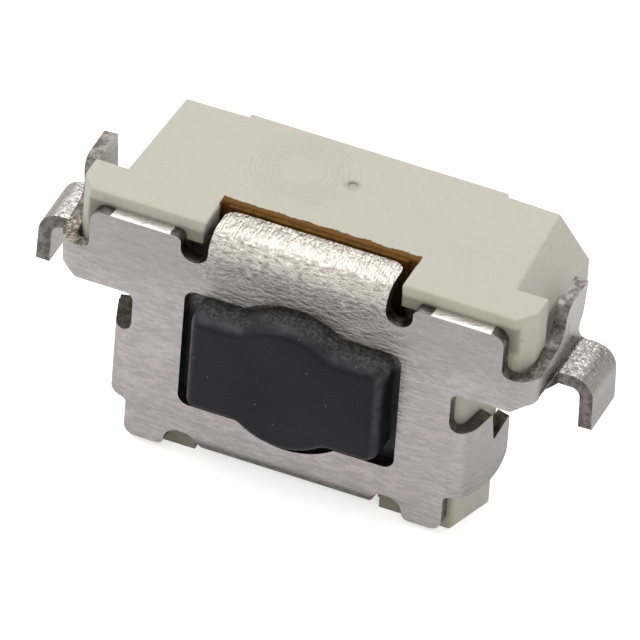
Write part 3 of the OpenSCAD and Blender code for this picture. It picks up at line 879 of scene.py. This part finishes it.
def sheet_metal(context):
    """Satin rolled sheet: drawn lines on its flats, rough skin on the tab's bend and the hooks' tops."""
    colours = context.scene.switch_colours
    material, tree, shader, place = new_material("Satin Sheet")
    lines = use_group(tree, streak_group(), place, Strength=1.0)
    wide, y, z = axis_values(tree, place)[1:]
    bent = bend_mask(tree, wide, y, z)
    tab_flat = times(tree, rise(tree, y, TAB_FLAT_Y), rise(tree, z, TAB_FLAT_Z))
    # The hooks' tops: a rougher, crumpled skin, and a painted highlight in their colour
    crown = times(tree, rise(tree, wide, CROWN_X), rise(tree, z, CROWN_Z))
    # Stretched skin: flecks drawn out along the bend, or from front to back on the tab's flat
    fleck = noise_node(tree, place, *FLECK)
    across = noise_node(tree, place, *ACROSS)
    crumple = noise_node(tree, place, *CRUMPLE)
    # Smooth on the ears, flanges and legs, rough on the tab and the hooks' tops
    rough_skin = larger(tree, rise(tree, wide, SMOOTH_X, 1.0, SMOOTH_REST), times(tree, crown, 0.7))
    flecks = times(tree, rise(tree, fleck, (0.32, 0.62)), minus(tree, bent, times(tree, tab_flat, 0.9)), rough_skin)
    combed = times(tree, rise(tree, across, (0.3, 0.7)), tab_flat, 0.5)
    crumpled = times(tree, rise(tree, crumple, (0.3, 0.7)), crown, 1.2)
    bump_node(tree, shader, plus(tree, times(tree, lines["Height"], 0.9), flecks, combed, crumpled), SHEET_BUMP)
    tone = noise_node(tree, place, *TONE)
    patch = noise_node(tree, place, *PATCH)
    # Painted highlight: the tab's upper bend and the hooks' tops are made lighter and warmer
    hook_top = times(tree, rise(tree, wide, HOOK_LIT_X), rise(tree, z, HOOK_LIT_Z))
    upper = larger(tree, rise(tree, z, TAB_LIT_Z), hook_top)
    # Painted shade, with a brown tone, on the hooks' outer bends
    outer = times(tree, rise(tree, wide, OUTER_SHADE_X), rise(tree, z, OUTER_SHADE_Z, 0.0, 0.9))
    # Painted shade: darker on the plate's upper part, the hooks' legs and the smooth sides of the ears and flanges
    top = times(tree, rise(tree, z, TOP_SHADE_Z, 0.0, 0.6), minus(tree, 1.0, bent))
    legs = times(tree, rise(tree, wide, LEG_X), fall(tree, z, LEG_Z, 0.95))
    sides = times(tree, bent, fall(tree, rough_skin, (SMOOTH_REST, 0.6), 0.6))
    # Painted shade, near black, on the bend of the foot
    foot = times(tree, fall(tree, z, FOOT_SHADE_Z), fall(tree, wide, FOOT_SHADE_X))
    worn = times(tree, lines["Mask"], rise(tree, bent, (0.0, 1.0), 0.55, 0.1))
    pits = times(tree, fall(tree, fleck, (0.34, 0.48), 0.7), minus(tree, bent, times(tree, tab_flat, 0.7)), rough_skin)
    tint = tints(colours.metal, SHEET_TINTS)
    colour = mix_node(tree, rise(tree, tone, (0.38, 0.62)), tint["own"], tint["pink"])
    # Painted highlights: lighter, warmer upper bends and bright hook tops; the hooks' outsides darker and browner,
    # partly painted shade; painted shade on the plate's upper part, the legs, the smooth sides and the foot's bend;
    # then the darker drawn lines and the pits
    colour = layered(tree, colour, tint, (
        (rise(tree, patch, (0.4, 0.7), 0.0, 0.3), "dim"), (times(tree, bent, upper), "warm_highlight"), (crown, "glint"),
        (outer, "brown_shade"), (larger(tree, top, legs, sides), "dim"), (foot, "foot_shade"), (worn, "dim"), (pits, "pit")))
    tree.links.new(colour, shader.inputs["Base Color"])
    rough = plus(tree, times(tree, lines["Mask"], 0.1), colours.metal_gloss - 0.05)
    tree.links.new(minus(tree, rough, times(tree, crown, 0.1)), shader.inputs["Roughness"])
    set_values(shader, {"Metallic": 1.0})
    return material


def cut_metal(context):
    """The sheared edges: darker and rougher than the sheet, with a painted highlight along the top of the shoulders.
    """
    material, tree, shader, place = new_material("Sheared Edge")
    x, wide, y, z = axis_values(tree, place)
    stripes = noise_node(tree, place, *STRIPES)
    fine = noise_node(tree, place, *FINE)
    # Painted highlight along the shoulders' top cut edges, with a wavy rim
    across = plus(tree, math_node(tree, "ABSOLUTE", minus(tree, x, SHOULDER_LIGHT_SHIFT)), times(tree, stripes, SHOULDER_LIGHT_WAVE))
    shoulder_highlight = times(tree, rise(tree, z, SHOULDER_LIGHT_Z), rise(tree, across, SHOULDER_LIGHT_IN_X),
                    fall(tree, across, SHOULDER_LIGHT_OUT_X))
    perch = times(tree, rise(tree, y, PERCH_Y), rise(tree, wide, PERCH_X), rise(tree, stripes, (0.4, 0.6), 0.2, 1.0))
    # Painted sparkle highlights in the valleys beside the ears, fainter on the right
    sparkle = times(tree, rise(tree, wide, SPARKLE_X), fall(tree, y, SPARKLE_Y), rise(tree, z, SPARKLE_LOW_Z),
                    fall(tree, z, SPARKLE_TOP_Z), rise(tree, x, LEFT_TO_RIGHT, 1.0, 0.4),
                    rise(tree, fine, (0.48, 0.66)))
    tint = tints(context.scene.switch_colours.metal, CUT_TINTS)
    colour = mix_node(tree, rise(tree, stripes, (0.4, 0.7)), tint["dark"], tint["pale"])
    colour = layered(tree, colour, tint, (
        (rise(tree, fine, (0.55, 0.7), 0.0, 0.5), "rust"), (perch, "perch"), (sparkle, "painted_sparkle"), (shoulder_highlight, "bright")))
    tree.links.new(colour, shader.inputs["Base Color"])
    set_values(shader, {"Metallic": 1.0, "Roughness": 0.4})
    bump_node(tree, shader, plus(tree, stripes, times(tree, fine, 0.5)), CUT_BUMP)
    return material


def swirl_height(tree, x, y, z):
    """Faint rings that the melt left on the top face, about a point beside the gate."""
    away = distance_from(tree, x, y, SWIRL)
    rings = math_node(tree, "SINE", times(tree, away, 2 * math.pi / SWIRL_STEP))
    return times(tree, rings, rise(tree, z, SWIRL_Z), rise(tree, away, SWIRL_IN), fall(tree, away, SWIRL_OUT))


def cream_moulding(context):
    """Cream plastic, mottled and specked, with painted shade behind the metal, in the crevice, inside the bottom
    notches and on the top face, and stained in the tab's notch.
    """
    colours = context.scene.switch_colours
    material, tree, shader, place = new_material("Cream Moulding")
    grain = use_group(tree, grain_group(), place, Grain=26.0)
    specks = use_group(tree, speck_group(), place, Spread=1.7 / MM, Core=0.012, Rim=0.03)
    x, wide, y, z = axis_values(tree, place)
    mottle = noise_node(tree, place, *MOTTLE)
    # Painted shade: the front, close behind the metal, is a darker, warmer brown
    near = fall(tree, y, FRONT_SHADE_Y)
    front = times(tree, near, rise(tree, z, FRONT_SHADE_Z, 1.0, 0.35), 0.42)
    # Painted shade inside the notches beside the bottom tab
    dirt = times(tree, fall(tree, z, NOTCH_SHADE_Z, 0.6), near, fall(tree, wide, NOTCH_SHADE_X))
    # Painted shade: a brown line in the crevice over the shoulders
    crevice_shade = times(tree, rise(tree, z, CREVICE_LOW_Z), fall(tree, z, CREVICE_TOP_Z, 0.6), near)
    # The notch behind the tab is stained, with a ragged edge on the top face
    ragged = minus(tree, y, times(tree, noise_node(tree, place, *RAGGED), NOTCH_RAGGED))
    notch = times(tree, rise(tree, y, NOTCH_FRONT_Y), fall(tree, ragged, NOTCH_REAR_Y), fall(tree, wide, NOTCH_X),
                  rise(tree, z, NOTCH_Z))
    gate = plus(tree, distance_from(tree, x, y, (0, GATE_Y)), times(tree, mottle, GATE_RAGGED))
    tint = tints(colours.cream, CREAM_TINTS)
    tint["film"] = tuple(colours.amber)
    colour = mix_node(tree, rise(tree, grain["Tone"], (0.35, 0.65)), tint["own"], tint["cool"])
    # The top face is made a little darker: painted shade
    colour = layered(tree, colour, tint, (
        (fall(tree, mottle, (0.36, 0.5)), "mottle"), (times(tree, specks["Mask"], 0.75), "grime_and_shade"),
        (rise(tree, z, LEVEL_Z, 0.0, 0.5), "level"), (front, "front_shade"), (dirt, "grime_and_shade"), (crevice_shade, "grime_and_shade"),
        (notch, "film"), (fall(tree, gate, GATE_MARK, 0.5), "gate")))
    tree.links.new(colour, shader.inputs["Base Color"])
    tree.links.new(rise(tree, notch, (0.0, 1.0), 0.5, 0.85), shader.inputs["Roughness"])
    set_values(shader, {"Subsurface Weight": 0.15, "Subsurface Radius": (1.0, 0.8, 0.5),
                        "Subsurface Scale": SOFT_DEPTH * MM})
    bump_node(tree, shader, plus(tree, grain["Height"], times(tree, swirl_height(tree, x, y, z), 0.3)), CREAM_BUMP)
    return material


def black_moulding(context):
    """Black plastic with a few specks of dust, and a painted highlight in a rubbed pattern on its upper side."""
    material, tree, shader, place = new_material("Black Moulding")
    grain = use_group(tree, grain_group(), place, Grain=30.0)
    specks = use_group(tree, speck_group(), place, Spread=5.5 / MM, Core=0.03, Rim=0.07)
    y, z = axis_values(tree, place)[2:]
    # Painted highlight on the button's upper edge, broken up in a rubbed pattern
    rubbed = rise(tree, noise_node(tree, place, *RUBBED), (0.4, 0.68), 0.25, 1.0)
    top_highlight = times(tree, rubbed, rise(tree, y, TOP_LIGHT_Y), rise(tree, z, TOP_LIGHT_Z))
    tint = tints(context.scene.switch_colours.black, BLACK_TINTS)
    colour = mix_node(tree, rise(tree, grain["Tone"], (0.3, 0.7)), tint["own"], tint["pale"])
    colour = layered(tree, colour, BLACK_MARKS, ((times(tree, specks["Mask"], 0.25), "dust"), (top_highlight, "top_highlight")))
    tree.links.new(colour, shader.inputs["Base Color"])
    dusty = rise(tree, noise_node(tree, place, *DUSTY), (0.35, 0.65), 0.25, 0.8)
    tree.links.new(times(tree, rise(tree, y, BUTTON_SIDE_Y), dusty), shader.inputs["Coat Weight"])
    set_values(shader, {"Coat Roughness": 0.35, "Roughness": 0.45, "Specular IOR Level": 0.25})
    bump_node(tree, shader, grain["Height"], BLACK_BUMP)
    return material


def amber_film(context):
    """The matt amber film over the cavity."""
    material, tree, shader, place = new_material("Amber Film")
    grain = use_group(tree, grain_group(), place, Grain=12.0)
    tint = tints(context.scene.switch_colours.amber, FILM_TINTS)
    colour = mix_node(tree, rise(tree, grain["Height"], (0.35, 0.65)), tint["own"], tint["deep"])
    tree.links.new(colour, shader.inputs["Base Color"])
    set_values(shader, {"Roughness": 0.6, "Specular IOR Level": 0.15})
    return material


def plated_metal(name, own, gloss):
    """Drawn metal strip for the dome and the contacts."""
    material, tree, shader, place = new_material(name)
    lines = use_group(tree, streak_group(), place, Strength=0.6)
    tint = tints(own, PLATED_TINTS)
    tree.links.new(mix_node(tree, lines["Mask"], tint["own"], tint["dim"]), shader.inputs["Base Color"])
    set_values(shader, {"Metallic": 1.0, "Roughness": gloss})
    bump_node(tree, shader, lines["Height"], PLATED_BUMP)
    return material


class SWITCH_OT_inner(bpy.types.Operator):
    """Gives the film, the snap dome and the two contacts their finishes"""
    bl_idname = "switch.inner"
    bl_label = "Film, Dome and Contacts"

    def execute(self, context):
        plated = plated_metal("Plated Contact", context.scene.switch_colours.contact, 0.3)
        finishes = {"cover_film": amber_film(context), "snap_dome": plated_metal("Spring Steel", STEEL, 0.2),
                    "centre_contact": plated, "rim_contact": plated}
        for node, material in finishes.items():
            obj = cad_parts[node]
            obj.data.materials.clear()
            obj.data.materials.append(material)
        return {"FINISHED"}


# ---- Stage --------------------------------------------------------------------------------

# The camera's own axes, fitted to the photograph: right and back
CAMERA_RIGHT = Vector((0.91907, 0.38941, 0.06059))
CAMERA_BACK = Vector((0.27025, -0.73466, 0.62228))
CAMERA_AIM = Vector((0.1176, 0.4731 - MID_Y, 0.5075 + BUTTON_Z)) * MM
VIEW_WIDTH = 6.7054 * MM
LENS = 1500.0
SENSOR = 36.0

# Size and drop of the floor, and its and the sky's light as seen directly and in the metal
FLOOR_SIZE = 0.3
FLOOR_DROP = 0.002
FLOOR_GLOW = 0.62
FLOOR_SHEEN = 0.42
FLOOR_TONE = 0.85
FLOOR_SEEN_TONE = 0.42
SKY = 0.58
SKY_SEEN = 0.46

# Place, size and power of each lamp; all aim at the part's middle
LAMPS = {
    "Top": ((-0.0175, 0.0245, 0.0576), 0.094, 0.032),
    "Front": ((-0.03, -0.04, 0.04), 0.02, 0.003),
    "Side": ((0.05, -0.05, 0.025), 0.03, 0.003),
}
LAMP_AIM = Vector((0, 0, BODY_H / 2)) * MM


def aim_camera():
    data = bpy.data.cameras.new("Camera")
    camera = bpy.data.objects.new("Camera", data)
    bpy.context.scene.collection.objects.link(camera)
    data.lens = LENS
    data.sensor_width = SENSOR
    back = CAMERA_BACK.normalized()
    right = (CAMERA_RIGHT - back * CAMERA_RIGHT.dot(back)).normalized()
    up = back.cross(right)
    distance = VIEW_WIDTH * LENS / SENSOR
    turn = Matrix((right, up, back)).transposed().to_4x4()
    camera.matrix_world = Matrix.Translation(CAMERA_AIM + back * distance) @ turn
    data.clip_start = 0.01
    data.clip_end = 2.0
    bpy.context.scene.camera = camera


def area_light(name, place, size, power):
    data = bpy.data.lights.new(name, "AREA")
    data.shape = "SQUARE"
    data.size = size
    data.energy = power
    light = bpy.data.objects.new(name, data)
    bpy.context.scene.collection.objects.link(light)
    light.location = place
    light.rotation_euler = (LAMP_AIM - Vector(place)).to_track_quat("-Z", "Y").to_euler()


def seen_mask(tree, path):
    """Where a ray comes straight, or through something clear, from the camera."""
    return larger(tree, path.outputs["Is Camera Ray"], path.outputs["Is Transmission Ray"])


def stage_floor():
    bpy.ops.object.select_all(action="DESELECT")
    bpy.ops.mesh.primitive_plane_add(size=FLOOR_SIZE, location=(0, 0, -FLOOR_DROP * MM))
    floor = bpy.context.object
    floor.name = "floor"
    bpy.ops.object.transform_apply(location=True, rotation=True, scale=True)
    material = bpy.data.materials.new("Pale Floor")
    material.use_nodes = True
    tree = material.node_tree
    tree.nodes.remove(tree.nodes["Principled BSDF"])
    paper = tree.nodes.new("ShaderNodeBsdfDiffuse")
    glow = tree.nodes.new("ShaderNodeEmission")
    path = tree.nodes.new("ShaderNodeLightPath")
    glossy = path.outputs["Is Glossy Ray"]
    feed(tree, paper.inputs["Color"], mix_node(tree, glossy, (FLOOR_TONE,) * 3, (FLOOR_SEEN_TONE,) * 3))
    strength = plus(tree, times(tree, seen_mask(tree, path), FLOOR_GLOW), times(tree, glossy, FLOOR_SHEEN))
    feed(tree, glow.inputs["Strength"], strength)
    both = tree.nodes.new("ShaderNodeAddShader")
    tree.links.new(paper.outputs[0], both.inputs[0])
    tree.links.new(glow.outputs[0], both.inputs[1])
    tree.links.new(both.outputs[0], tree.nodes["Material Output"].inputs["Surface"])
    floor.data.materials.append(material)


def stage_world():
    world = bpy.data.worlds.new("Studio")
    bpy.context.scene.world = world
    world.use_nodes = True
    tree = world.node_tree
    back = tree.nodes["Background"]
    path = tree.nodes.new("ShaderNodeLightPath")
    light = rise(tree, path.outputs["Is Glossy Ray"], (0.0, 1.0), SKY, SKY_SEEN)
    back.inputs["Color"].default_value = (1, 1, 1, 1)
    feed(tree, back.inputs["Strength"], larger(tree, light, seen_mask(tree, path)))


class SWITCH_OT_stage(bpy.types.Operator):
    """Sets the pale floor, the soft lights and the camera at the photograph's angle"""
    bl_idname = "switch.stage"
    bl_label = "Studio"

    def execute(self, context):
        context.scene.view_settings.view_transform = "Standard"
        stage_floor()
        stage_world()
        aim_camera()
        for name, (place, size, power) in LAMPS.items():
            area_light(name, place, size, power)
        return {"FINISHED"}


class SWITCH_PT_panel(bpy.types.Panel):
    """Lists the sizes, colours and steps of the switch"""
    bl_idname = "SWITCH_PT_panel"
    bl_label = "Tactile Switch"
    bl_space_type = "VIEW_3D"
    bl_region_type = "UI"
    bl_category = "Switch"

    def draw(self, context):
        layout = self.layout
        for group in (context.scene.switch_sizes, context.scene.switch_colours):
            for label in group.__annotations__:
                layout.prop(group, label)
        for operator in STEPS:
            layout.operator(operator.bl_idname)


STEPS = (SWITCH_OT_stage, SWITCH_OT_cover, SWITCH_OT_base, SWITCH_OT_button, SWITCH_OT_inner)
CLASSES = (SwitchSizes, SwitchColours, *STEPS, SWITCH_PT_panel)


def register():
    for item in CLASSES:
        bpy.utils.register_class(item)
    bpy.types.Scene.switch_sizes = PointerProperty(type=SwitchSizes)
    bpy.types.Scene.switch_colours = PointerProperty(type=SwitchColours)


def unregister():
    del bpy.types.Scene.switch_colours
    del bpy.types.Scene.switch_sizes
    for item in reversed(CLASSES):
        bpy.utils.unregister_class(item)


def main():
    register()
    bpy.ops.switch.stage()
    bpy.ops.switch.cover()
    bpy.ops.switch.base()
    bpy.ops.switch.button()
    bpy.ops.switch.inner()


if __name__ == "__main__":
    main()
